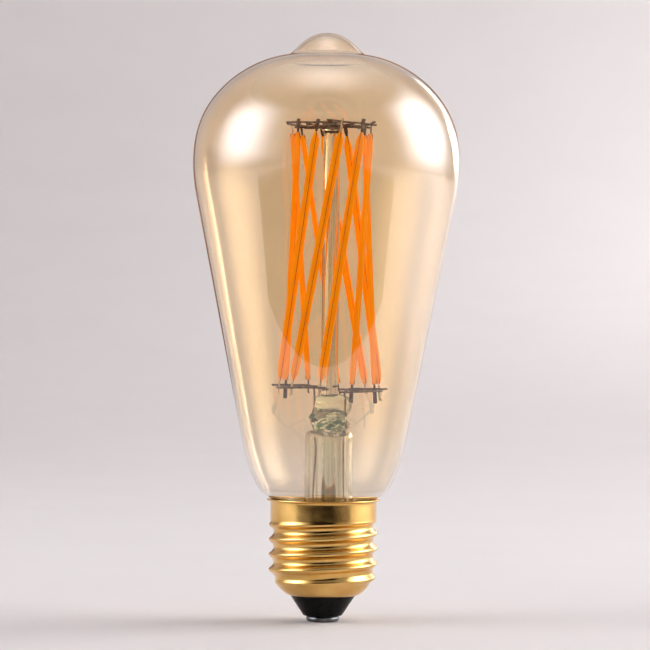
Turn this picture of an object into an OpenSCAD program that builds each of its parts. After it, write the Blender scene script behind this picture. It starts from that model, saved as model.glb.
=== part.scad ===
// LED filament lamp with a tinted pear-shaped globe and an Edison screw cap, in millimetres.
// The origin is the middle of the cap's contact face, and +Z runs along the axis to the glass tip.

/* [Globe] */
// Largest diameter of the glass globe
globe_d = 64; // [62:0.5:68]
// Height of the whole lamp, from the contact to the glass tip
lamp_h = 141.2; // [140:0.2:146]
// Thickness of the blown glass
glass_t = 0.9; // [0.7:0.1:1.1]
// Outer radius of the glass neck inside the cap
neck_r = 11.3; // [10.9:0.1:11.4]

/* [Screw cap] */
// Height of the cap, from the contact to its rolled rim
cap_h = 29.4; // [29:0.1:30]
// Diameter over the thread's crests
thread_d = 26.2; // [26.05:0.05:26.4]
// Depth of the thread, from crest to root
thread_depth = 1.15; // [0.9:0.05:1.2]
// Rise of the thread in one turn
thread_pitch = 3.63; // [3.6:0.01:3.66]
// Diameter of the plain skirt above the thread
skirt_d = 25.45; // [25.2:0.05:25.6]
// Diameter of the rolled rim
rim_d = 27.2; // [26.6:0.1:27.6]
// Thickness of the cap's sheet brass
sheet_t = 0.3; // [0.25:0.05:0.35]
// Diameter of the centre contact
contact_d = 7.9; // [7:0.1:8.6]
// Height of the centre contact
contact_h = 1.4; // [1.2:0.1:1.5]

/* [Stem] */
// Sideways offset of the stem from the lamp's axis
stem_shift = 1.2; // [0:0.1:1.3]
// Outer radius of the flare tube
flare_r = 5.8; // [5.5:0.1:6]
// Wall of the flare tube
flare_t = 0.8; // [0.7:0.1:0.9]
// Sideways offset of the pinch from the stem
pinch_shift = 0.6; // [0:0.1:0.8]
// Width of the flattened pinch
pinch_w = 9.3; // [9:0.1:9.6]
// Thickness of the flattened pinch
pinch_t = 4.4; // [4.2:0.1:4.8]
// Radius of the glass column
column_r = 2; // [1.8:0.1:2.1]
// Height of the pinch's top above the contact
pinch_top = 54.6; // [54.4:0.1:54.8]
// Half the distance between the two lead-in wires
lead_x = 3.6; // [3.5:0.1:3.7]

/* [Filaments] */
// Radius of the circle of filament feet
foot_r = 12; // [11.8:0.1:12.2]
// Radius of the circle of filament heads
head_r = 9.4; // [9.2:0.1:9.6]
// Height of the filament heads
head_z = 117; // [116:0.5:117.5]
// Turn of the cage from the feet to the heads, in degrees
cage_twist = 59; // [50:1:65]
// Width of a filament's carrier strip
strip_w = 1.3; // [1.2:0.05:1.4]
// Thickness of a filament over both layers of gel
gel_t = 2.2; // [2:0.1:2.3]
// Diameter of the ring and arm wires
wire_d = 0.5; // [0.44:0.02:0.56]

/* [Hidden] */
$fn = 48;
filament_count = 10;
pairs = filament_count / 2;
filament_step = 360 / filament_count;
first_foot = 8;

amber_tint = [0.85, 0.62, 0.36, 0.4];
clear_tint = [0.85, 0.9, 0.85, 0.5];
gel_orange = [1, 0.45, 0.02];
brass_gold = [0.87, 0.66, 0.3];
dull_wire = [0.35, 0.28, 0.25];
board_green = [0.1, 0.35, 0.22];

// Globe outline, drawn for a 64 mm globe that stands 141.2 mm tall on a 29.4 mm cap.
function globe_point(r, z) = [r * globe_d / 64, cap_h + (z - 29.4) * (lamp_h - cap_h) / 111.8];
neck_low = 21.5;
neck_bend = 26.6;
shoulder_low = globe_point(15, 31.1);
side_low = globe_point(20, 44.9);
side_high = globe_point(30.2, 97);
widest = globe_point(32, 109.9);
haunch = globe_point(24, 129);
valley = globe_point(10.5, 135.6);
tip_foot = globe_point(7.8, 137.1);
tip = globe_point(0, 141.2);

// Cap levels.
lip_r = 8.1;
lip_z = 6.3;
dome_top_r = 12.4;
dome_top_z = 11.3;
thread_start = 10.5;
thread_top = 24.3;
crest_r = thread_d / 2;
mid_r = crest_r - thread_depth / 2;
skirt_r = skirt_d / 2;
thread_turn_levels = 11;
// Above 1 this makes the crests narrower than the valleys.
crest_sharpness = 1.5;
shell_sides = 48;

// Stem levels.
flare_rim_r = 9;
shoulder_z = 43.8;
pinch_low = 46;
exhaust_r = 1.9;
exhaust_bore = 1.2;
exhaust_tip = 19.6;
button_r = 2.45;
button_low = 117.6;
button_top = 120.5;
lead_d = 0.46;

// Filament cage.
left_ring_z = 56.2;
right_ring_z = 55.4;
foot_rise = 1.7;
top_ring_z = 119.3;
strip_t = 0.3;
tab_w = 0.95;
tab_t = 0.3;
foot_tab = 4.5;
head_tab = 3.3;
chips_each = 20;
chip_size = [0.6, 0.22, 0.9];
// The way each carrier's flat face looks, as a compass angle from +X.
faces = [25, 40, 85, 70, 60, 10, 12, -15, 60, 65];

// Driver board.
board_z = 17.2;
board_t = 1;
board_r = 10.4;
insulator_top = 8.3;

function unit(v) = v / norm(v);
function bezier(p, t) =
    pow(1 - t, 3) * p[0] + 3 * t * pow(1 - t, 2) * p[1] + 3 * t * t * (1 - t) * p[2] + pow(t, 3) * p[3];
function curve(p, n = 6) = [for (i = [1:n]) bezier(p, i / n)];
function polar(r, a, z = 0) = [r * cos(a), r * sin(a), z];
function last(list) = list[len(list) - 1];

// Points moved sideways by t, to the left of the way the line runs.
function line_normal(p, i) =
    let (a = p[max(i - 1, 0)], b = p[min(i + 1, len(p) - 1)], d = unit(b - a)) [-d[1], d[0]];
function beside(p, t) = [for (i = [0:len(p) - 1]) p[i] + t * line_normal(p, i)];

globe_outline = concat(
    [[neck_r, neck_low], [neck_r, neck_bend]],
    curve([[neck_r, neck_bend], [neck_r, 28.4], [12.2, 29.2], shoulder_low]),
    curve([shoulder_low, globe_point(16.6, 32.9), globe_point(18.35, 36.8), side_low]),
    [side_high],
    curve([side_high, globe_point(31.18, 102), globe_point(32, 105.6), widest], 5),
    curve([widest, globe_point(32, 118.8), globe_point(29.1, 124.2), haunch], 8),
    curve([haunch, globe_point(21.6, 131.2), globe_point(16.5, 134.75), valley]),
    curve([valley, globe_point(9.3, 135.75), globe_point(8.7, 136.2), tip_foot], 5),
    curve([tip_foot, globe_point(6.3, 138.6), globe_point(4, 141.2), tip], 7));
globe_inside = [for (p = beside(globe_outline, glass_t)) [max(p[0], 0), p[1]]];

// A solid skinned over rings of points. A closed skin joins the last ring to the first.
module skin(rings, closed = false) {
    n = len(rings);
    m = len(rings[0]);
    sides = [for (i = [0:n - (closed ? 1 : 2)], j = [0:m - 1])
        let (a = i * m + j, b = i * m + (j + 1) % m, c = ((i + 1) % n) * m + j,
             d = ((i + 1) % n) * m + (j + 1) % m)
        each [[a, c, b], [b, c, d]]];
    ends = closed ? [] : [[for (j = [0:m - 1]) j], [for (j = [m - 1:-1:0]) (n - 1) * m + j]];
    polyhedron([for (ring = rings) each ring], concat(sides, ends));
}

// A bent wire along a path that lies in the plane square to across.
function path_way(p, i) = unit(p[min(i + 1, len(p) - 1)] - p[max(i - 1, 0)]);
module bent_wire(path, d, across = [0, 1, 0], sides = 10) {
    skin([for (i = [0:len(path) - 1])
        let (t = path_way(path, i), a = unit(cross(across, t)), b = cross(t, a))
        [for (j = [0:sides - 1]) path[i] + d / 2 * (cos(j * 360 / sides) * a + sin(j * 360 / sides) * b)]]);
}
module straight_wire(from, to, d) {
    way = to - from;
    translate(from)
        rotate([0, acos(way[2] / norm(way)), atan2(way[1], way[0])])
            cylinder(d = d, h = norm(way), $fn = 24);
}
module on_stem() { translate([stem_shift, 0, 0]) children(); }

// ---- glass ----
module glass_envelope() {
    color(amber_tint)
        rotate_extrude($fn = 96)
            polygon(concat(globe_outline, [for (i = [len(globe_inside) - 1:-1:0]) globe_inside[i]]));
}
module neck_seal() {
    color(clear_tint)
        difference() {
            translate([0, 0, neck_low]) cylinder(r = neck_r - glass_t, h = 2);
            on_stem() translate([0, 0, neck_low - 1]) cylinder(r = flare_rim_r, h = 4);
        }
}
flare_outline = concat(
    [[flare_rim_r, neck_low], [flare_rim_r, 23]],
    curve([[flare_rim_r, 23], [7, 23.8], [flare_r, 27], [flare_r, 31.5]], 8),
    [[flare_r, shoulder_z]],
    curve([[flare_r, shoulder_z], [flare_r, 45.4], [5.3, pinch_low], [4.3, pinch_low]], 6));
module stem_flare() {
    inside = beside(flare_outline, flare_t);
    color(clear_tint)
        on_stem()
            rotate_extrude()
                polygon(concat(flare_outline, [[exhaust_r, pinch_low], [exhaust_r, pinch_low - flare_t]],
                               [for (i = [len(inside) - 1:-1:1]) inside[i]],
                               [[flare_rim_r - flare_t, neck_low]]));
}
module pinch_slab(w, t, z) {
    translate([0, 0, z])
        hull() for (side = [-1, 1]) translate([side * (w - t) / 2, 0, 0]) sphere(d = t, $fn = 32);
}
module stem_pinch() {
    slab_low = pinch_low + pinch_t / 2 + 0.6;
    color(clear_tint)
        on_stem()
            difference() {
                hull() {
                    translate([0, 0, pinch_low]) cylinder(r = 4.3, h = 0.2, $fn = 32);
                    translate([pinch_shift, 0, 0]) {
                        pinch_slab(pinch_w, pinch_t, slab_low);
                        pinch_slab(pinch_w - 0.9, pinch_t - 0.6, pinch_top - pinch_t / 2 + 0.3);
                    }
                }
                for (side = [-1, 1])
                    translate([side * lead_x, 0, pinch_low - 1]) cylinder(d = lead_d + 0.06, h = 12);
                translate([0, 0, pinch_top - 0.6]) cylinder(r = column_r, h = 2);
            }
}
module exhaust_tube() {
    bead = 0.9;
    color(clear_tint)
        on_stem()
            rotate_extrude()
                polygon(concat(
                    [[exhaust_bore, pinch_low], [exhaust_r, pinch_low], [exhaust_r, exhaust_tip + 2]],
                    curve([[exhaust_r, exhaust_tip + 2], [exhaust_r, exhaust_tip + bead],
                           [1, exhaust_tip], [0, exhaust_tip]], 5),
                    [[0, exhaust_tip + bead], [exhaust_bore, exhaust_tip + 2.4]]));
}
module support_column() {
    color(clear_tint)
        on_stem() translate([0, 0, pinch_top - 0.6])
            cylinder(r = column_r, h = button_low - pinch_top + 0.6);
}
module column_button() {
    collar = 0.5;
    color(clear_tint)
        on_stem()
            difference() {
                rotate_extrude()
                    polygon(concat(
                        [[0, button_low], [column_r, button_low]],
                        curve([[column_r, button_low], [button_r, button_low + 0.1],
                               [button_r, button_low + collar], [button_r, button_low + 2 * collar]], 4),
                        curve([[button_r, button_low + 2 * collar], [button_r, button_top - 0.4],
                               [1.6, button_top], [0, button_top]], 6)));
                spokes();
            }
}

// ---- wires ----
spoke_z = top_ring_z - wire_d;
// Where a head tab crosses the top ring, measured from the axis.
chord_mid = 8.63;
chord_half = chord_mid * tan(36) + 0.75;
chord_tilt = atan(wire_d / 2 / (chord_mid * tan(36)));
chord_first = first_foot + cage_twist + filament_step / 2 + 2.4;
module spokes() {
    for (i = [0:pairs - 1])
        let (turn = chord_first + i * 72)
            straight_wire(polar(0.9, turn, spoke_z), polar(9.5, turn, spoke_z), wire_d);
}
module top_spokes() { color(dull_wire) on_stem() spokes(); }
module top_ring_wire(i) {
    color(dull_wire)
        on_stem()
            rotate([0, 0, chord_first + (i - 1) * 72])
                translate([chord_mid, 0, top_ring_z])
                    rotate([90 - chord_tilt, 0, 0])
                        cylinder(d = wire_d, h = 2 * chord_half, center = true, $fn = 24);
}
ring_r = foot_r + 0.2 + (tab_t + wire_d) / 2;
ring_gap = 7;
module half_ring(start, z) {
    color(dull_wire)
        on_stem()
            translate([0, 0, z])
                rotate([0, 0, start])
                    rotate_extrude(angle = 180 - 2 * ring_gap)
                        translate([ring_r, 0]) circle(d = wire_d, $fn = 24);
}
module left_half_ring() { half_ring(90 + ring_gap + 3, left_ring_z); }
module right_half_ring() { half_ring(-90 + ring_gap + 3, right_ring_z); }
// The arm leaves the pinch, turns outwards and lies on its half ring.
function arm_path(side, z) = concat(
    [[side * lead_x, 0, pinch_top - 1.6], [side * lead_x, 0, pinch_top - 0.2]],
    curve([[side * lead_x, 0, pinch_top - 0.2], [side * lead_x, 0, z + 0.1],
           [side * (lead_x + 0.4), 0, z + wire_d], [side * (lead_x + 2.2), 0, z + wire_d]], 6),
    [[side * 13.9, 0, z + wire_d]]);
module lead_arm(side, z) {
    color(dull_wire) on_stem() bent_wire(arm_path(side, z), lead_d);
}
module seal_wire(side) {
    color([0.62, 0.28, 0.24])
        on_stem()
            straight_wire([side * lead_x, 0, pinch_low + 0.3], [side * lead_x, 0, pinch_top - 1.6], lead_d);
}
function outer_path(side) = concat(
    [[side * lead_x, 0, pinch_low + 0.3], [side * lead_x, 0, pinch_low - 1.5]],
    curve([[side * lead_x, 0, pinch_low - 1.5], [side * (lead_x - 0.9), 0, 42],
           [side * (lead_x - 0.2), 0, 38], [side * lead_x, 0, 33]], 6),
    curve([[side * lead_x, 0, 33], [side * (lead_x + 0.3), 0, 29],
           [side * (lead_x + 0.9), 0, 25], [side * (lead_x + 0.9), 0, board_z + board_t - 0.6]], 6));
module outer_lead(side) {
    color([0.45, 0.36, 0.3]) on_stem() bent_wire(outer_path(side), lead_d);
}

// ---- filaments, numbered from 1 ----
function foot_angle(k) = first_foot + (k - 1) * filament_step;
function on_left(k) = cos(foot_angle(k)) < 0;
function foot(k) = polar(foot_r, foot_angle(k), (on_left(k) ? left_ring_z : right_ring_z) + foot_rise);
function head(k) = polar(head_r, foot_angle(k) + cage_twist, head_z);
function filament_length(k) = norm(head(k) - foot(k));
// Frame at the foot: local Z runs up the filament and local Y looks as near to facing as it can.
module along_filament(k, facing) {
    w = unit(head(k) - foot(k));
    n = unit(facing - (facing * w) * w);
    u = cross(n, w);
    p = foot(k);
    on_stem()
        multmatrix([[u[0], n[0], w[0], p[0]], [u[1], n[1], w[1], p[1]], [u[2], n[2], w[2], p[2]],
                    [0, 0, 0, 1]])
            children();
}
function carrier_face(k) = polar(1, faces[k - 1]);
module slab(w, t, low, high) { translate([-w / 2, -t / 2, low]) cube([w, t, high - low]); }
module chips(k) {
    pitch = (filament_length(k) - 3) / (chips_each - 1);
    for (i = [0:chips_each - 1])
        translate([-chip_size[0] / 2, strip_t / 2, 1.5 + i * pitch - chip_size[2] / 2]) cube(chip_size);
}
module led_filament(k) {
    color(gel_orange)
        along_filament(k, carrier_face(k))
            difference() {
                linear_extrude(filament_length(k))
                    polygon([for (a = [0:15:345]) [strip_w / 2 * cos(a), gel_t / 2 * sin(a)]]);
                slab(strip_w + 1, strip_t, -1, filament_length(k) + 1);
                chips(k);
            }
}
module filament_strip(k) {
    color([0.55, 0.25, 0.08])
        along_filament(k, carrier_face(k)) slab(strip_w - 0.02, strip_t, 0, filament_length(k));
}
module led_chips() {
    color([0.9, 0.85, 0.5])
        for (k = [1:filament_count]) along_filament(k, carrier_face(k)) chips(k);
}
module lower_tabs() {
    color([0.5, 0.47, 0.44])
        for (k = [1:filament_count])
            along_filament(k, polar(1, foot_angle(k))) slab(tab_w, tab_t, -foot_tab, 0);
}
module upper_tabs() {
    color([0.45, 0.36, 0.3])
        for (k = [1:filament_count])
            along_filament(k, polar(1, foot_angle(k) + cage_twist))
                slab(tab_w, tab_t, filament_length(k), filament_length(k) + head_tab);
}

// ---- cap ----
function skirt_blend(z) =
    lookup(z, [[dome_top_z, dome_top_r], [12.2, mid_r], [23.4, mid_r], [24.2, skirt_r]]);
function thread_height(z) =
    lookup(z, [[8.2, 0], [10.6, thread_depth / 2], [23.1, thread_depth / 2], [thread_top, 0]]);
function thread_wave(turn) = 2 * pow((1 + cos(turn)) / 2, crest_sharpness) - 1;
shell_outline = concat(
    [[lip_r, lip_z]],
    curve([[lip_r, lip_z], [9.4, 6.5], [11.6, 8.9], [dome_top_r, dome_top_z]], 11),
    [for (z = [dome_top_z + 0.33:thread_pitch / thread_turn_levels:thread_top]) [skirt_blend(z), z]],
    [[skirt_r, thread_top + 0.2], [skirt_r, cap_h - 0.65], [skirt_r + 0.25, cap_h - 0.38]]);
shell_rings = concat(
    shell_outline,
    [[rim_d / 2 - 0.1, cap_h - 0.35], [rim_d / 2, cap_h - 0.2], [rim_d / 2 - 0.1, cap_h],
     [skirt_r + 0.05, cap_h]],
    [for (i = [len(shell_outline) - 1:-1:0]) beside(shell_outline, sheet_t)[i]]);
module screw_shell() {
    color(brass_gold)
        skin([for (p = shell_rings)
            [for (j = [0:shell_sides - 1])
                let (a = j * 360 / shell_sides, turn = 360 * (p[1] - thread_start) / thread_pitch - a)
                polar(p[0] + thread_height(p[1]) * thread_wave(turn), a, p[1])]], closed = true);
}
module insulator() {
    color([0.06, 0.06, 0.06])
        rotate_extrude()
            polygon([[0.5, contact_h], [4.45, contact_h], [4.75, 1.6], [7.85, lip_z], [7.85, 6.75],
                     [8.5, 7.3], [8.5, insulator_top], [0.5, insulator_top]]);
}
module centre_contact() {
    r = contact_d / 2;
    color([0.42, 0.42, 0.44])
        rotate_extrude()
            polygon(concat([[0, 0], [r - 0.8, 0]],
                           curve([[r - 0.8, 0], [r - 0.2, 0], [r, 0.3], [r, 0.7]], 4),
                           [[r, 1.1], [r - 0.3, contact_h], [0, contact_h]]));
}
module basing_cement() {
    cement_low = 24.6;
    cement_top = 28.3;
    cement_r = skirt_r - sheet_t;
    color([0.6, 0.55, 0.3])
        rotate_extrude()
            polygon([[neck_r, cement_low], [cement_r, cement_low], [cement_r, cement_top],
                     [neck_r + 0.6, cement_top], [neck_r + 0.15, 27.2], [neck_r, neck_bend]]);
}

// ---- driver, inside the cap ----
module driver_board() {
    color(board_green)
        difference() {
            translate([0, 0, board_z]) cylinder(r = board_r, h = board_t);
            for (side = [-1, 1])
                translate([stem_shift + side * (lead_x + 0.9), 0, board_z - 1])
                    cylinder(d = lead_d + 0.1, h = 4);
            translate([0, 0, board_z - 1]) cylinder(d = 0.8, h = 4);
        }
}
module chip_body(x, y, z, size) { translate([x - size[0] / 2, y - size[1] / 2, z]) cube(size); }
module bridge_rectifier() { color([0.1, 0.1, 0.1]) chip_body(-4.6, -5, board_z - 1.6, [4.8, 4, 1.6]); }
module driver_chip() { color([0.08, 0.08, 0.08]) chip_body(5.6, -4.8, board_z + board_t, [4.9, 3.9, 1.5]); }
module smoothing_capacitor() {
    color([0.15, 0.15, 0.2]) translate([5.2, 4, board_z - 7]) cylinder(d = 6.3, h = 7);
}
module driver_inductor() {
    color([0.2, 0.2, 0.2])
        translate([-5.6, 4, board_z - 6])
            rotate_extrude()
                polygon([[0, 0], [2.75, 0], [2.75, 1], [2.3, 1], [2.3, 5], [2.75, 5], [2.75, 6], [0, 6]]);
}
module fusible_resistor() {
    color([0.3, 0.5, 0.7]) translate([5.8, -4.4, board_z - 7.2]) cylinder(d = 2.6, h = 7.2);
}
module radio_module() { color([0.7, 0.7, 0.72]) chip_body(-5.4, -4.6, board_z + board_t, [6.4, 5.6, 1.7]); }
module radio_antenna() {
    rows = 5;
    color([0.8, 0.5, 0.3])
        for (i = [0:rows - 1]) {
            chip_body(0, 4.4 + i, board_z + board_t, [7, 0.4, 0.1]);
            if (i < rows - 1)
                chip_body((i % 2 ? -1 : 1) * 3.3, 4.9 + i, board_z + board_t, [0.4, 0.6, 0.1]);
        }
}
module shell_lead() {
    top = board_z + board_t;
    color([0.75, 0.1, 0.1])
        bent_wire([[0, -9.2, top], [0, -9.3, top + 0.5], [0, -10.2, top + 1.4], [0, -12.3, 20.5]],
                  lead_d, [1, 0, 0]);
}
module contact_lead() {
    color([0.1, 0.1, 0.4])
        translate([0, 0, contact_h]) cylinder(d = 0.6, h = board_z + board_t - contact_h);
}

glass_envelope();
neck_seal();
stem_flare();
stem_pinch();
exhaust_tube();
support_column();
column_button();
top_spokes();
for (i = [1:pairs]) top_ring_wire(i);
left_half_ring();
right_half_ring();
lead_arm(-1, left_ring_z);  // left_lead_arm
lead_arm(1, right_ring_z);  // right_lead_arm
seal_wire(-1);  // left_seal_wire
seal_wire(1);  // right_seal_wire
outer_lead(-1);  // left_outer_lead
outer_lead(1);  // right_outer_lead
for (i = [1:filament_count]) led_filament(i);
for (i = [1:filament_count]) filament_strip(i);
lower_tabs();
upper_tabs();
led_chips();
screw_shell();
insulator();
centre_contact();
basing_cement();
driver_board();
bridge_rectifier();
driver_chip();
smoothing_capacitor();
driver_inductor();
fusible_resistor();
radio_module();
radio_antenna();
shell_lead();
contact_lead();
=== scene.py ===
import math

import bpy
from mathutils import Matrix, Vector


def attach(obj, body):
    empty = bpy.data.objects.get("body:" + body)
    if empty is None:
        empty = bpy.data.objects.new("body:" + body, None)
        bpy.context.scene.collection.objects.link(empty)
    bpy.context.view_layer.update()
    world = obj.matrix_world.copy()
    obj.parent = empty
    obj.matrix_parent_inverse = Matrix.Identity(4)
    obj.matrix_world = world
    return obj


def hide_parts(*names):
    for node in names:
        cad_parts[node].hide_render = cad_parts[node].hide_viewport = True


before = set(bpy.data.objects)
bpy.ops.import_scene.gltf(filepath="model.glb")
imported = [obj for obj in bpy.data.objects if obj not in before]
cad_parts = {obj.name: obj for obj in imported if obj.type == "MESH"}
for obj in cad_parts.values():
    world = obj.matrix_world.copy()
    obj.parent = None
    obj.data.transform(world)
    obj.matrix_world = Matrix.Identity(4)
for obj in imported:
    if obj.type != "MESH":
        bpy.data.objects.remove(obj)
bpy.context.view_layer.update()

MM = 0.001  # shapes are worked out in millimetres, and the scene is in metres

# Globe.
GLOBE_R, WIDEST_Z, TIP_Z = 32.0, 109.9, 141.2
NECK_R, NECK_LOW, NECK_BEND = 11.3, 21.5, 26.6
GLASS_T = 0.9

# Screw cap: a dome, the thread and a plain skirt with a rolled rim.
THREAD_START, PITCH, CREST_R, THREAD_DEPTH = 10.5, 3.63, 13.1, 1.15
CREST_SHARPNESS = 1.5  # above 1 the crests are narrower than the valleys
THREAD_RISE, THREAD_FALL = (8.2, 10.6), (22.9, 24.5)
DOME_TOP_R, DOME_TOP, DOME_BLEND = 12.4, 11.3, (11.3, 12.2)
SKIRT_R, SKIRT_LOW, SKIRT_BLEND = 12.725, 24.6, (23.3, 24.3)
RIM_R, SHEET_T, CAP_TOP = 13.6, 0.3, 29.4
CEMENT_LOW, CEMENT_TOP = 24.6, 28.9
CONTACT_R, CONTACT_TOP, LEAD_HOLE_R = 3.95, 1.4, 0.5

# Stem, which stands a little off the lamp's axis.
STEM_X = 1.2
FLARE_R, FLARE_T, FLARE_RIM_R = 5.8, 0.8, 9.0
PINCH_LOW, PINCH_TOP, PINCH_SHIFT = 46.0, 54.6, 0.6
LEAD_X, LEAD_D = 3.6, 0.46
EXHAUST_R, EXHAUST_BORE_R, EXHAUST_TIP = 1.9, 1.2, 19.6
COLUMN_R = 2.0
BUTTON_LOW, BUTTON_TOP, BUTTON_R = 117.6, 120.5, 2.45

# Filament cage.
FILAMENTS = 10
FOOT_R, HEAD_R, HEAD_Z = 12.0, 9.4, 117.0
FIRST_FOOT, FOOT_STEP, CAGE_TWIST = 8.0, 36.0, 59.0
LEFT_RING_Z, RIGHT_RING_Z, FOOT_RISE = 56.2, 55.4, 1.7
STRIP_W, STRIP_T, GEL_T = 1.3, 0.22, 2.2
TAB_W, TAB_T = 0.95, 0.3
WIRE_D = 0.5
TOP_RING_Z, CHORD_MID = 119.3, 8.63
SPOKE_IN_R, SPOKE_OUT_R = 0.9, 9.5

# For each filament in turn: the bearings that its carrier and its two tabs face, and the tabs' lengths.
CARRIER_FACES = (25, 40, 85, 70, 60, 10, 12, -15, 60, 65)
FOOT_TAB_FACES = (300, 20, 10, 170, 95, 188, 200, 250, 290, 275)
HEAD_TAB_FACES = (60, 130, 160, 185, 225, 235, 340, 300, 5, 40)
FOOT_TABS = (4.2, 2.6, 3.0, 3.4, 4.6, 3.2, 3.6, 3.4, 4.4, 4.6)
HEAD_TABS = (3.0, 2.8, 3.2, 3.1, 3.3, 3.0, 3.2, 3.3, 3.1, 2.9)
SHINY_FOOT_TABS, SHINY_HEAD_TABS = (1, 2, 6, 7, 8), (4, 7)


# ---------------------------------------------------------------- drawing aids

def polar(r, degrees, z=0.0):
    a = math.radians(degrees)
    return Vector((r * math.cos(a), r * math.sin(a), z))


def bezier(p, steps):
    """Points along one cubic arc, without its first point."""
    out = []
    for i in range(1, steps + 1):
        t = i / steps
        u = 1 - t
        out.append(tuple(u ** 3 * a + 3 * t * u * u * b + 3 * t * t * u * c + t ** 3 * d
                         for a, b, c, d in zip(*p)))
    return out


def beside(points, distance):
    """A flat line moved sideways, to the left of the way it runs."""
    out = []
    for i, p in enumerate(points):
        a, b = points[max(i - 1, 0)], points[min(i + 1, len(points) - 1)]
        dx, dz = b[0] - a[0], b[1] - a[1]
        run = math.hypot(dx, dz)
        out.append((p[0] - dz / run * distance, p[1] + dx / run * distance))
    return out


def smooth_step(low, high, value):
    t = min(max((value - low) / (high - low), 0.0), 1.0)
    return t * t * (3 - 2 * t)


# ---------------------------------------------------------------- modelling steps

def deselect_all():
    if bpy.context.object and bpy.context.object.mode != "OBJECT":
        bpy.ops.object.mode_set(mode="OBJECT")
    bpy.ops.object.select_all(action="DESELECT")


def select_only(piece):
    deselect_all()
    piece.select_set(True)
    bpy.context.view_layer.objects.active = piece


def draw_line(name, points, closed=False):
    """A line of edges through points in millimetres, drawn from one vertex and left in edit mode."""
    deselect_all()
    bpy.ops.mesh.primitive_plane_add(size=MM)
    piece = bpy.context.object
    piece.name = piece.data.name = name
    bpy.ops.object.mode_set(mode="EDIT")
    bpy.ops.mesh.select_all(action="SELECT")
    bpy.ops.mesh.merge(type="CENTER")
    here = Vector(points[0]) * MM
    bpy.ops.transform.translate(value=here)
    for point in points[1:]:
        there = Vector(point) * MM
        bpy.ops.mesh.extrude_region_move(TRANSFORM_OT_translate={"value": there - here})
        here = there
    if closed:
        bpy.ops.object.mode_set(mode="OBJECT")
        for v in piece.data.vertices:
            v.select = v.index in (0, len(points) - 1)
        bpy.ops.object.mode_set(mode="EDIT")
        bpy.ops.mesh.edge_face_add()
    return piece


def tidy_mesh():
    """Joins doubled points and turns every face outwards. Expects edit mode, and leaves it."""
    bpy.ops.mesh.select_all(action="SELECT")
    doubled = 0.002 * MM
    bpy.ops.mesh.remove_doubles(threshold=doubled)
    bpy.ops.mesh.normals_make_consistent(inside=False)
    bpy.ops.object.mode_set(mode="OBJECT")


def lathe(name, profile, steps=96, closed=True, x=0.0):
    """Spins a profile of (radius, height) points round an upright axis that stands at x."""
    piece = draw_line(name, [(x + r, 0, z) for r, z in profile], closed)
    bpy.ops.mesh.select_all(action="SELECT")
    bpy.ops.mesh.spin(steps=steps, angle=math.tau, center=(x * MM, 0, 0), axis=(0, 0, 1))
    tidy_mesh()
    return piece


def spin_sheet(name, points, degrees, steps):
    """Spins a line of (radius, 0, height) points part of the way round the upright axis into a sheet."""
    sheet = draw_line(name, points)
    bpy.ops.mesh.select_all(action="SELECT")
    bpy.ops.mesh.spin(steps=steps, angle=math.radians(degrees), center=(0, 0, 0), axis=(0, 0, 1))
    bpy.ops.object.mode_set(mode="OBJECT")
    return sheet


def bearings(piece):
    """The bearing of each vertex round the upright axis, in radians."""
    return [math.atan2(v.co.y, v.co.x) for v in piece.data.vertices]


def wire(name, path, d):
    """A round wire with closed ends along a path of points."""
    piece = draw_line(name, path)
    bpy.ops.object.mode_set(mode="OBJECT")
    bpy.ops.object.convert(target="CURVE")
    piece = bpy.context.object
    piece.data.bevel_depth = d / 2 * MM
    piece.data.bevel_resolution = 3
    piece.data.use_fill_caps = True
    piece.data.dimensions = "3D"
    bpy.ops.object.convert(target="MESH")
    piece = bpy.context.object
    bpy.ops.object.mode_set(mode="EDIT")
    tidy_mesh()
    return piece


def block(name, size, centre):
    """A block in millimetres, ready for shaping."""
    deselect_all()
    bpy.ops.mesh.primitive_cube_add(size=MM, location=Vector(centre) * MM, scale=size)
    piece = bpy.context.object
    piece.name = piece.data.name = name
    bpy.ops.object.transform_apply(location=True, rotation=True, scale=True)
    return piece


def apply_modifier(piece, kind, **settings):
    select_only(piece)
    modifier = piece.modifiers.new(kind.title(), kind)
    for key, value in settings.items():
        setattr(modifier, key, value)
    bpy.ops.object.modifier_apply(modifier=modifier.name)


def shade(piece, degrees=40):
    select_only(piece)
    bpy.ops.object.shade_smooth_by_angle(angle=math.radians(degrees))


def join(name, pieces):
    deselect_all()
    for p in pieces:
        p.select_set(True)
    bpy.context.view_layer.objects.active = pieces[0]
    if len(pieces) > 1:
        bpy.ops.object.join()
    pieces[0].name = pieces[0].data.name = name
    return pieces[0]


def copy_of(piece, name):
    """A copy with its own mesh."""
    select_only(piece)
    bpy.ops.object.duplicate(linked=False)
    made = bpy.context.object
    made.name = made.data.name = name
    return made


def settle(piece, finish, slot, *nodes):
    """Gives a piece its finish and its body, and hides the CAD nodes that it stands for. The slot is not
    used.
    """
    piece.data.materials.clear()
    piece.data.materials.append(finish)
    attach(piece, "root")
    if nodes:
        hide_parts(*nodes)
    return piece


# ---------------------------------------------------------------- finishes

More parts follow.
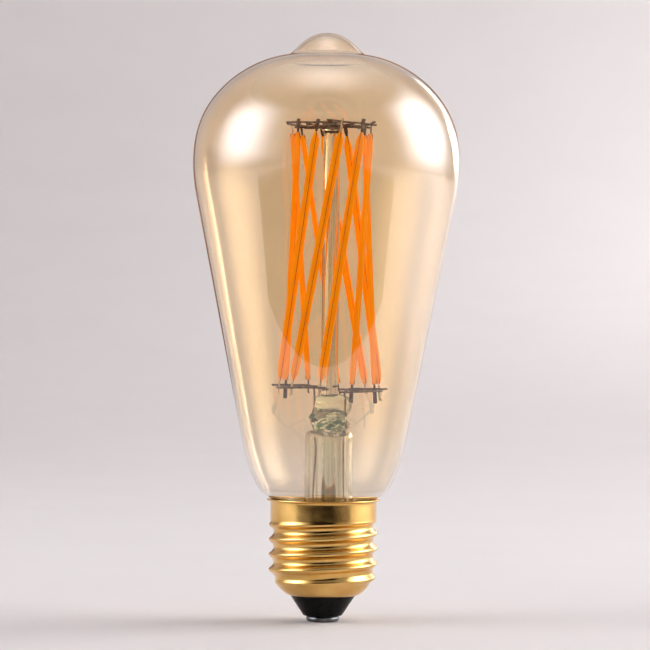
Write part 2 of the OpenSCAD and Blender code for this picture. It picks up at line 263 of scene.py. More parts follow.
class Finish:
    """A Principled material whose patterns run on object coordinates, with sizes in millimetres."""

    def __init__(self, name, **sockets):
        self.material = bpy.data.materials.new(name)
        self.material.use_nodes = True
        self.tree = self.material.node_tree
        self.shader = self.tree.nodes["Principled BSDF"]
        for key, value in sockets.items():
            socket = self.shader.inputs[key.replace("_", " ")]
            socket.default_value = (*value, 1.0) if isinstance(value, tuple) and len(value) == 3 else value
        coordinates = self.tree.nodes.new("ShaderNodeTexCoord")
        self.place = coordinates.outputs["Object"]

    def node(self, kind, **inputs):
        made = self.tree.nodes.new("ShaderNode" + kind)
        for key, value in inputs.items():
            socket = made.inputs[key.replace("_", " ")]
            if isinstance(value, bpy.types.NodeSocket):
                self.tree.links.new(value, socket)
            else:
                socket.default_value = value
        return made

    def maths(self, operation, *values):
        made = self.tree.nodes.new("ShaderNodeMath")
        made.operation = operation
        for socket, value in zip(made.inputs, values):
            self.tree.links.new(value, socket)
        return made.outputs["Value"]

    def stretched(self, scale):
        """Object coordinates in millimetres, times a scale for each axis."""
        made = self.node("Mapping", Vector=self.place)
        made.inputs["Scale"].default_value = tuple(s / MM for s in scale)
        return made.outputs["Vector"]

    def noise(self, size, detail=2.0, stretch=(1, 1, 1), roughness=0.5):
        """Soft noise whose blotches are about size millimetres across."""
        made = self.node("TexNoise", Vector=self.stretched([s / size for s in stretch]), Scale=1.0,
                         Detail=detail, Roughness=roughness)
        return made.outputs["Fac"]

    def between(self, fac, low, high, from_low=0.3, from_high=0.7):
        """Turns a value that runs from from_low to from_high into one that runs from low to high."""
        made = self.node("MapRange", Value=fac, From_Min=from_low, From_Max=from_high,
                         To_Min=low, To_Max=high)
        return made.outputs["Result"]

    def height(self):
        return self.node("SeparateXYZ", Vector=self.place).outputs["Z"]

    def colours(self, fac, stops):
        """A colour ramp through (position, colour) stops."""
        made = self.node("ValToRGB", Fac=fac)
        ramp = made.color_ramp
        while len(ramp.elements) < len(stops):
            ramp.elements.new(0.5)
        for element, (position, colour) in zip(ramp.elements, stops):
            element.position, element.color = position, (*colour, 1.0)
        return made.outputs["Color"]

    def blend(self, amount, mask, low, high):
        """The first colour, turned into the second where both the amount and the mask are high."""
        share = self.maths("MULTIPLY", amount, mask)
        made = self.node("MixRGB", Fac=share, Color1=low, Color2=(*high, 1.0))
        return made.outputs["Color"]

    def feed(self, socket, source):
        self.tree.links.new(source, self.shader.inputs[socket])

    def bump(self, height, depth_mm, strength=1.0):
        made = self.node("Bump", Height=height, Strength=strength, Distance=depth_mm * MM)
        self.feed("Normal", made.outputs["Normal"])


GLASS = {"Roughness": 0.0, "IOR": 1.5, "Transmission_Weight": 1.0}


def make_amber_glass():
    """Amber lustre on the outside: paler towards the neck, with a painted dark brown shade where the glass
    turns away from the view, and less coat mirroring there.
    """
    f = Finish("amber_glass", **GLASS, Coat_Weight=1.0, Coat_IOR=1.8, Coat_Roughness=0.0)
    pale_z, full_z, waver = 30 * MM, 60 * MM, 1.2 * MM
    up = f.between(f.maths("ADD", f.between(f.noise(14), -waver, waver), f.height()), 0, 1, pale_z, full_z)
    tint = f.colours(up, [
        (0.0, (0.92, 0.8, 0.65)), (0.3, (0.92, 0.77, 0.57)), (0.6, (0.94, 0.72, 0.44)),
        (1.0, (0.94, 0.675, 0.365))])
    facing = f.node("LayerWeight", Blend=0.5).outputs["Facing"]
    # Painted shade: a dark brown outline painted where the glass turns away from the view.
    edge, painted_rim_shade = f.between(facing, 0.0, 1.0, 0.8, 0.9), (0.3, 0.1, 0.025)
    f.feed("Base Color", f.blend(f.between(up, 0, 1, 0.05, 0.5), edge, tint, painted_rim_shade))
    f.feed("Coat Weight", f.between(facing, 1, 0.25, 0.86, 0.94))
    f.bump(f.noise(22, detail=1.0), 0.12)
    return f.material


def make_inner_glass():
    """The inside of the globe, which mirrors little."""
    f = Finish("amber_glass_inside", **GLASS, Specular_Tint=(0.25, 0.25, 0.25))
    f.feed("Base Color", f.colours(f.noise(14), [(0.3, (0.98, 0.97, 0.96)), (0.7, (1.0, 0.99, 0.98))]))
    f.bump(f.noise(22, detail=1.0), 0.12)
    return f.material


def make_clear_glass():
    f = Finish("clear_glass", **GLASS)
    f.feed("Base Color", f.colours(f.noise(8), [(0.3, (0.93, 0.96, 0.93)), (0.7, (0.97, 0.98, 0.96))]))
    f.bump(f.noise(3.5, detail=1.0, stretch=(1, 1, 0.3)), 0.05)
    return f.material


def make_drawn_glass():
    """Rod and tube, drawn from the melt, with faint streaks along their length: partly the glass's own
    striations, partly painted shade for the dark bands seen through them.
    """
    f = Finish("drawn_glass", **GLASS)
    # Painted shade: the darkest streak colour stands in for dark bands seen through the glass.
    f.feed("Base Color", f.colours(f.noise(0.8, detail=2.0, stretch=(1, 1, 0.012)), [
        (0.36, (0.6, 0.56, 0.42)), (0.5, (0.93, 0.94, 0.87)), (0.64, (0.98, 0.98, 0.95))]))
    f.bump(f.noise(1.2, detail=1.0, stretch=(1, 1, 0.02)), 0.06)
    return f.material


def make_pressed_glass():
    """The pinch, pressed hot: wavy and faintly green, with small dark green spots painted low on it near its
    shoulder, standing in for the dark glints of its lumpy glass.
    """
    f = Finish("pressed_glass", **GLASS)
    cast = f.colours(f.noise(3.0), [(0.35, (0.74, 0.88, 0.64)), (0.65, (0.95, 0.97, 0.9))])
    # Painted dark glints: near-black green specks where the lumpy glass would show dark reflections.
    painted_glint_green = (0.01, 0.07, 0.02)
    painted_dark_glints = f.between(f.noise(1.5, detail=3.0, stretch=(0.7, 0.7, 1.4)), 0, 1, 0.49, 0.54)
    near_shoulder = f.between(f.height(), 1, 0, 49.5 * MM, 51.5 * MM)
    f.feed("Base Color", f.blend(near_shoulder, painted_dark_glints, cast, painted_glint_green))
    f.bump(f.noise(1.3, detail=2.0), 0.4)
    return f.material


def make_gel():
    """Orange phosphor gel, with a faint painted glow of its own."""
    # Painted glow: a little orange emission that brightens the gel.
    f = Finish("filament_gel", Roughness=0.5, Emission_Strength=0.5, Emission_Color=(1.0, 0.31, 0.0),
               Specular_IOR_Level=0.15)
    f.feed("Base Color", f.colours(f.noise(2.2, detail=3.0, stretch=(1, 1, 0.35)), [
        (0.25, (0.95, 0.28, 0.0)), (0.5, (1.0, 0.35, 0.001)), (0.75, (1.0, 0.42, 0.004))]))
    f.bump(f.noise(1.1, detail=2.0, stretch=(1, 1, 0.5)), 0.08)
    return f.material


def make_carrier():
    # Painted glow: a faint orange emission that brightens the carrier.
    f = Finish("filament_carrier", Roughness=0.55, Emission_Strength=0.06, Emission_Color=(1.0, 0.27, 0.0))
    f.feed("Base Color", f.colours(f.noise(1.5), [(0.3, (0.5, 0.17, 0.02)), (0.7, (0.75, 0.28, 0.04))]))
    f.bump(f.noise(0.4), 0.02)
    return f.material


def make_support_wire():
    """Support wire, browned in blotches."""
    f = Finish("support_wire", Metallic=0.85)
    f.feed("Base Color", f.colours(f.noise(1.4, detail=3.0), [
        (0.3, (0.06, 0.035, 0.025)), (0.55, (0.16, 0.11, 0.085)), (0.75, (0.4, 0.33, 0.27))]))
    f.feed("Roughness", f.between(f.noise(0.9), 0.25, 0.55))
    f.bump(f.noise(0.35), 0.04)
    return f.material


def make_plain_metal(name, dark, light, rough, metallic=1.0, grain=0.5, depth=0.02):
    f = Finish(name, Metallic=metallic)
    f.feed("Base Color", f.colours(f.noise(2.0, detail=3.0), [(0.3, dark), (0.7, light)]))
    f.feed("Roughness", f.between(f.noise(1.2), rough * 0.75, rough * 1.3))
    f.bump(f.noise(grain), depth)
    return f.material


def make_brass():
    """Drawn brass: polished, with faint lines up the shell."""
    f = Finish("cap_brass", Metallic=1.0)
    f.feed("Base Color", f.colours(f.noise(5.0, detail=3.0), [
        (0.3, (0.74, 0.43, 0.12)), (0.7, (0.88, 0.56, 0.19))]))
    lines = f.noise(0.7, detail=2.0, stretch=(1, 1, 0.02))
    f.feed("Roughness", f.between(f.noise(3.0, detail=4.0), 0.15, 0.24))
    f.bump(lines, 0.006)
    return f.material


def make_moulding(name, dark, light, rough, grain=0.6, depth=0.01, shine=0.5, **sockets):
    f = Finish(name, Specular_IOR_Level=shine, **sockets)
    f.feed("Base Color", f.colours(f.noise(3.0, detail=3.0), [(0.3, dark), (0.7, light)]))
    f.feed("Roughness", f.between(f.noise(1.5), rough * 0.8, rough * 1.25))
    f.bump(f.noise(grain), depth)
    return f.material


AMBER_OUTSIDE = make_amber_glass()
AMBER_INSIDE = make_inner_glass()
CLEAR_GLASS = make_clear_glass()
DRAWN_GLASS = make_drawn_glass()
PRESSED_GLASS = make_pressed_glass()
GEL = make_gel()
CARRIER = make_carrier()
SUPPORT_WIRE = make_support_wire()
BRIGHT_STEEL = make_plain_metal("bright_steel", (0.55, 0.5, 0.44), (0.85, 0.8, 0.72), 0.25, depth=0.05)
BRASS = make_brass()
SEAL_COPPER = make_plain_metal("seal_copper", (0.3, 0.05, 0.03), (0.5, 0.14, 0.08), 0.4)
LEAD_COPPER = make_plain_metal("lead_copper", (0.2, 0.13, 0.1), (0.42, 0.3, 0.22), 0.35)
CONTACT_METAL = make_plain_metal("contact_metal", (0.11, 0.11, 0.11), (0.26, 0.26, 0.26), 0.34, depth=0.03)
BLACK_GLASS = make_moulding("cap_insulator", (0.003, 0.003, 0.003), (0.006, 0.006, 0.006), 0.3, shine=0.1)
# Painted glow: a faint olive emission stands in for light that hardly reaches the cement inside the cap.
CEMENT = make_moulding("cement", (0.2, 0.17, 0.03), (0.42, 0.33, 0.08), 0.6, grain=1.5, depth=0.2,
                        Emission_Color=(0.3, 0.22, 0.04), Emission_Strength=0.35)


# ---------------------------------------------------------------- glass

def globe_outline():
    """The globe's outside, from the neck's foot up to the tip."""
    line = [(NECK_R, NECK_LOW), (NECK_R, NECK_BEND)]
    for arc, steps in (
            (((NECK_R, NECK_BEND), (NECK_R, 28.4), (12.2, 29.2), (15.0, 31.1)), 12),
            (((15.0, 31.1), (16.6, 32.9), (18.35, 36.8), (20.0, 44.9)), 12),
            (((20.0, 44.9), (23.4, 62.27), (26.8, 79.63), (30.2, 97.0)), 10),
            (((30.2, 97.0), (31.18, 102.0), (GLOBE_R, 105.6), (GLOBE_R, WIDEST_Z)), 10),
            (((GLOBE_R, WIDEST_Z), (GLOBE_R, 118.8), (29.1, 124.2), (24.0, 129.0)), 16),
            (((24.0, 129.0), (21.6, 131.2), (16.5, 134.75), (10.5, 135.6)), 12),
            (((10.5, 135.6), (9.3, 135.75), (8.7, 136.2), (7.8, 137.1)), 8),
            (((7.8, 137.1), (6.3, 138.6), (4.0, TIP_Z), (0.0, TIP_Z)), 14)):
        line += bezier(arc, steps)
    return line


def make_globe():
    """The globe with two finishes. In the neck's bend its inside keeps the slope of its outside."""
    bend_end, wall_start = 30.5, 34.0
    outside = globe_outline()
    inside = []
    for (r, z), (inner_r, inner_z) in zip(outside, beside(outside, GLASS_T)):
        share = smooth_step(bend_end, wall_start, z)
        inside.append((max(r - GLASS_T + (inner_r - r + GLASS_T) * share, 0.0), z + (inner_z - z) * share))
    inside[-1] = (0.0, outside[-1][1] - GLASS_T)
    globe = lathe("globe", outside + inside[::-1], steps=128)
    shade(globe)
    settle(globe, AMBER_OUTSIDE, "amber_glass", "glass_envelope")
    globe.data.materials.append(AMBER_INSIDE)
    for face in globe.data.polygons:
        heart = Vector((0, 0, min(face.center.z, 105 * MM)))
        face.material_index = int((face.center - heart).dot(face.normal) < 0)
    return globe


def make_flare_tube():
    """The flare and its tube, whose drawn-in top is a little wavy."""
    rim_top, shoulder, top, mouth_r = 23.0, 43.4, PINCH_LOW - 0.4, 1.95
    outside = [(FLARE_RIM_R, NECK_LOW), (FLARE_RIM_R, rim_top)]
    outside += bezier(((FLARE_RIM_R, rim_top), (7.0, 23.8), (FLARE_R, 27.0), (FLARE_R, 31.5)), 14)
    outside += [(FLARE_R, z) for z in (35.0, 38.0, 39.5, 41.0, 42.4, shoulder)]
    outside += bezier(((FLARE_R, shoulder), (FLARE_R, 45.0), (5.4, top), (4.2, top)), 10)
    inside = beside(outside, FLARE_T)
    inside[0] = (FLARE_RIM_R - FLARE_T, NECK_LOW)
    mouth = [(mouth_r, top), (mouth_r, top - FLARE_T)]
    tube = lathe("flare_tube", outside + mouth + inside[::-1], steps=64, x=STEM_X)
    wave_rise, wave_swell = 0.35, 0.02
    for v in tube.data.vertices:
        up = smooth_step(39.0, 44.5, v.co.z / MM)
        around = math.atan2(v.co.y, v.co.x - STEM_X * MM)
        v.co.z += wave_rise * MM * up * math.sin(2 * around + 0.6)
        v.co.x = STEM_X * MM + (v.co.x - STEM_X * MM) * (1 + wave_swell * up * math.sin(5 * around))
    shade(tube)
    return settle(tube, DRAWN_GLASS, "clear_glass", "stem_flare")


def make_exhaust_tube():
    """A narrow tube with a sealed round tip."""
    r, tip = EXHAUST_R, EXHAUST_TIP
    line = [(EXHAUST_BORE_R, PINCH_LOW), (r, PINCH_LOW), (r, 34.0), (r, tip + 2)]
    line += bezier(((r, tip + 2), (r, tip + 0.9), (1.0, tip), (0.0, tip)), 8)
    line += [(0.0, tip + 0.9), (EXHAUST_BORE_R, tip + 2.4)]
    tube = lathe("exhaust_tube", line, steps=40, x=STEM_X)
    shade(tube)
    return settle(tube, CLEAR_GLASS, "clear_glass", "exhaust_tube")


def make_column():
    """The glass column, drawn in a little under its button."""
    low, r, top = PINCH_TOP - 0.6, COLUMN_R, BUTTON_LOW
    line = [(0.0, low), (r, low), (r, 85.0), (r, top - 2.0)]
    line += bezier(((r, top - 2.0), (r, top - 1.5), (r, top - 1.2), (r - 0.25, top - 0.9)), 5)
    line += bezier(((r - 0.25, top - 0.9), (r - 0.35, top - 0.5), (r - 0.1, top - 0.1), (r - 0.1, top)), 5)
    column = lathe("glass_column", line + [(0.0, top)], steps=48, closed=False, x=STEM_X)
    shade(column)
    return settle(column, DRAWN_GLASS, "clear_glass", "support_column")


def make_button():
    """The melted glass bead on the column's top."""
    low, top, r, foot_r = BUTTON_LOW, BUTTON_TOP, BUTTON_R, COLUMN_R - 0.1
    line = [(0.0, low), (foot_r, low)]
    line += bezier(((foot_r, low), (r, low + 0.1), (r, low + 0.5), (r, low + 1.0)), 6)
    line += bezier(((r, low + 1.0), (r, top - 0.4), (1.6, top), (0.0, top)), 9)
    button = lathe("column_button", line, steps=48, closed=False, x=STEM_X)
    shade(button)
    return settle(button, CLEAR_GLASS, "clear_glass", "column_button")


def make_pinch():
    """A rod end pressed flat between jaws: wide and thin at the top, swelling to a lumpy round shoulder."""
    rod_r, tall, cuts = 4.5, PINCH_TOP - PINCH_LOW, 36
    deselect_all()
    bpy.ops.mesh.primitive_cylinder_add(vertices=64, radius=rod_r * MM, depth=tall * MM,
                                        location=(STEM_X * MM, 0, (PINCH_LOW + PINCH_TOP) / 2 * MM))
    pinch = bpy.context.object
    pinch.name = pinch.data.name = "stem_pinch_glass"
    bpy.ops.object.transform_apply(location=True, rotation=False, scale=False)
    bpy.ops.object.mode_set(mode="EDIT")
    for i in range(1, cuts):
        bpy.ops.mesh.select_all(action="SELECT")
        height = PINCH_LOW + tall * i / cuts
        bpy.ops.mesh.bisect(plane_co=(0, 0, height * MM), plane_no=(0, 0, 1))
    bpy.ops.object.mode_set(mode="OBJECT")
    rounding, pressed_off = 0.16, 0.5
    for v in pinch.data.vertices:
        up = (v.co.z / MM - PINCH_LOW) / tall
        x, y = v.co.x / MM - STEM_X, v.co.y / MM
        press = smooth_step(0.2, 0.62, up)
        top_edge = math.sqrt(1 - 0.75 * max((up - 1 + rounding) / rounding, 0.0) ** 2)
        foot_edge = 1 - 0.1 * (1 - smooth_step(0.0, 0.1, up))
        drawn_in = foot_edge * top_edge
        lumpy = (1 - smooth_step(0.3, 0.55, up)) * smooth_step(0.0, 0.08, up)
        around = math.atan2(y, x)
        lump = 0.07 * math.sin(3 * around + 14 * up) + 0.05 * math.sin(7 * around - 23 * up + 1.0)
        side = 0.06 * math.sin(9 * up + (1.5 if x > 0 else 4.0))
        v.co.x = (STEM_X + PINCH_SHIFT * press + x * drawn_in * (1.0 + lump * lumpy + side)) * MM
        v.co.y = y * drawn_in * (0.95 - pressed_off * press + lump * lumpy) * MM
    shade(pinch, 60)
    return settle(pinch, PRESSED_GLASS, "clear_glass", "stem_pinch")


# ---------------------------------------------------------------- wires

def on_stem(point):
    return (point[0] + STEM_X, point[1], point[2])


def make_half_ring(name, node, start, z):
    """One of the two lower arcs, nearly half a circle, with a little sag."""
    gap, steps = 7.0, 36
    sweep = 180 - 2 * gap
    radius = FOOT_R + 0.2 + (TAB_T + WIRE_D) / 2
    path = []
    for i in range(steps + 1):
        t = i / steps
        sag = 0.12 * math.sin(t * 9.0 + z)
        path.append(on_stem(polar(radius + 0.05 * math.sin(t * 14.0), start + sweep * t, z + sag)))
    ring = wire(name, path, WIRE_D)
    shade(ring, 60)
    return settle(ring, SUPPORT_WIRE, "support_wire", node)


def make_lead_arm(name, node, side, z):
    """The wire from the pinch up and out to a lower arc. Side is -1 for left and 1 for right."""
    arm_end = 13.9
    foot = (side * LEAD_X, 0, PINCH_TOP - 1.6)
    knee = (side * LEAD_X, 0, PINCH_TOP - 0.2)
    path = [foot, knee] + bezier((knee, (side * LEAD_X, 0, z + 0.1), (side * (LEAD_X + 0.4), 0, z + WIRE_D),
                                  (side * (LEAD_X + 2.2), 0, z + WIRE_D)), 10)
    last = Vector(path[-1])
    end = Vector((side * arm_end, 0, z + WIRE_D))
    path += [tuple(last.lerp(end, i / 6) + Vector((0, 0, 0.05 * math.sin(i * 2.1)))) for i in range(1, 7)]
    arm = wire(name, [on_stem(p) for p in path], LEAD_D)
    shade(arm, 60)
    return settle(arm, SUPPORT_WIRE, "support_wire", node)


def make_outer_lead(name, node, side, slack):
    """The wire from the pinch down past the flare into the cap."""
    top = (side * LEAD_X, 0, PINCH_LOW + 0.3)
    path = [top, (side * LEAD_X, 0, PINCH_LOW - 1.5)]
    path += bezier((path[-1], (side * (LEAD_X - slack), 0, 42.0), (side * (LEAD_X - 0.2), 0, 38.0),
                    (side * LEAD_X, 0, 33.0)), 12)
    path += bezier((path[-1], (side * (LEAD_X + 0.3), 0, 29.0), (side * (LEAD_X + 0.9), 0, 25.0),
                    (side * (LEAD_X + 0.9), 0, 17.6)), 12)
    lead = wire(name, [on_stem(p) for p in path], LEAD_D)
    shade(lead, 60)
    return settle(lead, LEAD_COPPER, "lead_copper", node)


def make_top_ring():
    """Five wires laid as a pinwheel, each end over the next one's start."""
    side_half, overhang, ring_turn = CHORD_MID * math.tan(math.radians(36)), 0.75, 2.4
    half = side_half + overhang
    rise = WIRE_D / 2 / side_half
    first = FIRST_FOOT + CAGE_TWIST + FOOT_STEP / 2 + ring_turn
    bows = (0.12, -0.1, 0.06, -0.14, 0.1)
    for i in range(5):
        turn = first + i * 72
        out, along = polar(1, turn), polar(1, turn + 90)
        path = []
        for k in range(9):
            s = (k / 8 * 2 - 1) * half
            bow = bows[i] * (1 - (s / half) ** 2) + 0.05 * math.sin(s * 1.3 + i)
            p = out * (CHORD_MID + bow) + along * s
            path.append(on_stem((p.x, p.y, TOP_RING_Z - s * rise + 0.06 * math.sin(s * 0.9 + 2 * i))))
        chord = wire(f"top_wire_{i + 1}", path, WIRE_D)
        shade(chord, 60)
        settle(chord, SUPPORT_WIRE, "support_wire", f"top_ring_wire_{i + 1}")
    z = TOP_RING_Z - WIRE_D
    arms = []
    for i in range(5):
        turn = first + i * 72
        inner, outer = polar(SPOKE_IN_R, turn, z), polar(SPOKE_OUT_R, turn, z)
        path = [on_stem(inner.lerp(outer, k / 6) + Vector((0, 0, 0.05 * math.sin(k + i)))) for k in range(7)]
        arms.append(wire(f"arm_{i + 1}", path, WIRE_D))
    spokes = join("top_arms", arms)
    shade(spokes, 60)
    settle(spokes, SUPPORT_WIRE, "support_wire", "top_spokes")


# ---------------------------------------------------------------- filaments

def foot_angle(k):
    return FIRST_FOOT + (k - 1) * FOOT_STEP


def foot(k):
    left = math.cos(math.radians(foot_angle(k))) < 0
    return polar(FOOT_R, foot_angle(k), (LEFT_RING_Z if left else RIGHT_RING_Z) + FOOT_RISE)


def head(k):
    return polar(HEAD_R, foot_angle(k) + CAGE_TWIST, HEAD_Z)


def filament_place(k, facing):
    """Moves a piece modelled upright at the origin to filament k, its local Y turned as facing says."""
    along = (head(k) - foot(k)).normalized()
    across = (facing - facing.dot(along) * along).normalized()
    side = across.cross(along)
    p = foot(k) + Vector((STEM_X, 0, 0))
    return Matrix(((side.x, across.x, along.x, p.x * MM), (side.y, across.y, along.y, p.y * MM),
                   (side.z, across.z, along.z, p.z * MM), (0, 0, 0, 1)))


def place(piece, matrix):
    """Puts a piece in its place in its own mesh, so that its object stays at the origin."""
    piece.matrix_world = matrix
    select_only(piece)
    bpy.ops.object.transform_apply(location=True, rotation=True, scale=True)


def model_gel(name, length):
    """Two beads of gel on the two faces of the carrier, tapered to its ends."""
    deselect_all()
    bpy.ops.mesh.primitive_cylinder_add(vertices=28, radius=0.5 * MM, depth=length * MM,
                                        location=(0, 0, length / 2 * MM), scale=(STRIP_W, GEL_T, 1))
    gel = bpy.context.object
    gel.name = gel.data.name = name
    bpy.ops.object.transform_apply(location=True, rotation=True, scale=True)
    bpy.ops.object.mode_set(mode="EDIT")
    end_cuts, middle_cuts = [0.25, 0.7, 1.3, 2.0], 26
    cuts = end_cuts + [3 + i * (length - 6) / middle_cuts for i in range(middle_cuts + 1)]
    cuts += [length - cut for cut in reversed(end_cuts)]
    for cut in cuts:
        bpy.ops.mesh.select_all(action="SELECT")
        bpy.ops.mesh.bisect(plane_co=(0, 0, cut * MM), plane_no=(0, 0, 1))
    bpy.ops.mesh.select_all(action="SELECT")
    bpy.ops.mesh.bisect(plane_co=(0, STRIP_T / 2 * MM, 0), plane_no=(0, 1, 0),
                        use_fill=True, clear_inner=True)
    tidy_mesh()
    clearance = 0.94  # keeps the rippled bead inside its plain CAD shape
    for v in gel.data.vertices:
        z = v.co.z / MM
        near_end = max(min(z, length - z), 0.0)
        taper = 0.14 + 0.86 * min(near_end / 2.2, 1.0) ** 0.8
        ripple = 1 + 0.018 * math.sin(z * 2.1)
        swell = (v.co.y / MM - STRIP_T / 2) * clearance * taper * ripple
        v.co.y = (STRIP_T / 2 + swell) * MM
        v.co.x *= 0.4 + 0.6 * min(near_end / 1.8, 1.0) ** 0.7
    apply_modifier(gel, "MIRROR", use_axis=(False, True, False), use_mirror_merge=False)
    shade(gel, 50)
    return gel


def model_carrier(name, length):
    strip = block(name, (STRIP_W - 0.04, STRIP_T, length), (0, 0, length / 2))
    apply_modifier(strip, "BEVEL", width=0.05 * MM, segments=2)
    shade(strip)
    return strip


def make_filaments():
    """Every filament is a copy of a pattern of its length, moved to its place in the cage."""
    patterns = {}
    for k in range(1, FILAMENTS + 1):
        length = round((head(k) - foot(k)).length, 3)
        if length not in patterns:
            patterns[length] = (model_gel("gel_pattern", length), model_carrier("carrier_pattern", length))
        gel_pattern, carrier_pattern = patterns[length]
        gel = copy_of(gel_pattern, f"led_gel_{k}")
        strip = copy_of(carrier_pattern, f"carrier_{k}")
        where = filament_place(k, polar(1, CARRIER_FACES[k - 1]))
        place(gel, where)
        place(strip, where)
        settle(gel, GEL, "filament_gel", f"led_filament_{k}")
        settle(strip, CARRIER, "filament_carrier", f"filament_strip_{k}")
    for pair in patterns.values():
        for pattern in pair:
            bpy.data.objects.remove(pattern)


def make_tabs(name, node, at_head, lengths, faces, shiny):
    """The flat metal ends of the filaments, in one piece: each narrows and bends a little its own way."""
    bend, cuts = 0.16, 6
    tabs = []
    for k, (length, face) in enumerate(zip(lengths, faces), 1):
        low = (head(k) - foot(k)).length if at_head else -length
        tab = block(f"tab_{k}", (TAB_W, TAB_T, length), (0, 0, low + length / 2))
        bpy.ops.object.mode_set(mode="EDIT")
        for i in range(1, cuts):
            bpy.ops.mesh.select_all(action="SELECT")
            bpy.ops.mesh.bisect(plane_co=(0, 0, (low + length * i / cuts) * MM), plane_no=(0, 0, 1))
        bpy.ops.object.mode_set(mode="OBJECT")
        for v in tab.data.vertices:
            away = (v.co.z / MM - low) / length
            away = away if at_head else 1 - away
            v.co.x *= 0.5 + 0.5 * smooth_step(0.05, 0.4, away)
            v.co.y += bend * MM * math.sin(away * 5.0 + k) * away
        apply_modifier(tab, "BEVEL", width=0.05 * MM, segments=2, limit_method="ANGLE")
        place(tab, filament_place(k, polar(1, face)))
        settle(tab, SUPPORT_WIRE, "support_wire")
        tab.data.materials.append(BRIGHT_STEEL)
        for piece_face in tab.data.polygons:
            piece_face.material_index = int(k in shiny)
        tabs.append(tab)
    piece = join(name, tabs)
    shade(piece, 50)
    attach(piece, "root")
    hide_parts(node)


# ---------------------------------------------------------------- cap

def skirt_line(z):
    """The shell's middle radius at a height: the dome's top, the thread's middle, then the skirt."""
    mid = CREST_R - THREAD_DEPTH / 2
    out_to_skirt = (SKIRT_R - mid) * smooth_step(*SKIRT_BLEND, z)
    return mid + out_to_skirt - (mid - DOME_TOP_R) * (1 - smooth_step(*DOME_BLEND, z))


def thread_height(z):
    return THREAD_DEPTH / 2 * smooth_step(*THREAD_RISE, z) * (1 - smooth_step(*THREAD_FALL, z))


def make_screw_shell():
    """Sheet brass rolled into a round screw thread that dies out into the skirt and the dome."""
    dome_low, levels = (8.1, 6.3), 104
    heights = [DOME_TOP + (SKIRT_LOW - DOME_TOP) * i / levels for i in range(1, levels + 1)]
    outside = [dome_low] + bezier((dome_low, (9.4, 6.5), (11.6, 8.9), (DOME_TOP_R, DOME_TOP)), 22)
    outside += [(skirt_line(z), z) for z in heights]
    outside += [(SKIRT_R, z) for z in (25.4, 26.6, 27.8, CAP_TOP - 0.95)]
    outside += bezier((outside[-1], (SKIRT_R, CAP_TOP - 0.6), (SKIRT_R + 0.1, CAP_TOP - 0.45),
                       (RIM_R - 0.2, CAP_TOP - 0.42)), 7)
    lip = bezier((outside[-1], (RIM_R + 0.06, CAP_TOP - 0.4), (RIM_R + 0.06, CAP_TOP - 0.02),
                  (RIM_R - 0.2, CAP_TOP)), 7)
    lip += bezier((lip[-1], (SKIRT_R - 0.1, CAP_TOP), (SKIRT_R - SHEET_T, CAP_TOP - 0.25),
                   (SKIRT_R - SHEET_T, CAP_TOP - 0.8)), 7)
    inside = [point for point in beside(outside, SHEET_T) if point[1] < CAP_TOP - 0.9]
    shell = lathe("screw_shell_brass", outside + lip + inside[::-1], steps=180)
    for v in shell.data.vertices:
        z = v.co.z / MM
        radius = math.hypot(v.co.x, v.co.y)
        turn = math.tau * (z - THREAD_START) / PITCH - math.atan2(v.co.y, v.co.x)
        wave = 2 * ((1 + math.cos(turn)) / 2) ** CREST_SHARPNESS - 1
        grown = (radius + thread_height(z) * wave * MM) / radius
        v.co.x *= grown
        v.co.y *= grown
    shade(shell, 50)
    return settle(shell, BRASS, "cap_brass", "screw_shell")


def make_cement():
    """Basing cement between the neck and the shell, with its top sloping down to the neck."""
    neck_side, shell_side = NECK_R + 0.02, SKIRT_R - SHEET_T - 0.02
    line = [(neck_side, CEMENT_LOW), (shell_side, CEMENT_LOW), (shell_side, CEMENT_TOP)]
    line += [(12.25, 28.85), (12.0, 28.62), (11.7, 28.2), (11.5, 27.7), (NECK_R + 0.08, 26.9)]
    ring = lathe("cement_ring", line, steps=120)
    shade(ring)
    return settle(ring, CEMENT, "cement", "basing_cement")


def make_insulator():
    """The black cone under the shell, with a flange that the shell holds."""
    line = [(LEAD_HOLE_R, CONTACT_TOP), (4.35, CONTACT_TOP)]
    line += bezier(((4.35, CONTACT_TOP), (4.62, CONTACT_TOP), (4.7, 1.5), (4.82, 1.72)), 5)
    line += [(5.8, 3.2), (6.9, 4.87), (7.5, 5.78)]
    line += bezier(((7.5, 5.78), (7.75, 6.15), (7.85, 6.4), (7.85, 6.75)), 5)
    line += [(8.5, 7.3), (8.5, 8.3), (LEAD_HOLE_R, 8.3)]
    ring = lathe("black_insulator", line, steps=96)
    shade(ring)
    return settle(ring, BLACK_GLASS, "cap_insulator", "insulator")


def make_contact():
    """The centre contact, with a shallow dimple in its end."""
    r = CONTACT_R
    line = [(0.0, 0.12), (1.2, 0.1), (2.2, 0.0), (r - 0.8, 0.0)]
    line += bezier(((r - 0.8, 0.0), (r - 0.2, 0.0), (r, 0.3), (r, 0.7)), 6)
    line += [(r, 1.05), (r - 0.12, 1.2), (r - 0.3, CONTACT_TOP), (0.0, CONTACT_TOP)]
    button = lathe("contact_button", line, steps=64, closed=False)
    shade(button)
    return settle(button, CONTACT_METAL, "contact_metal", "centre_contact")


# ---------------------------------------------------------------- build

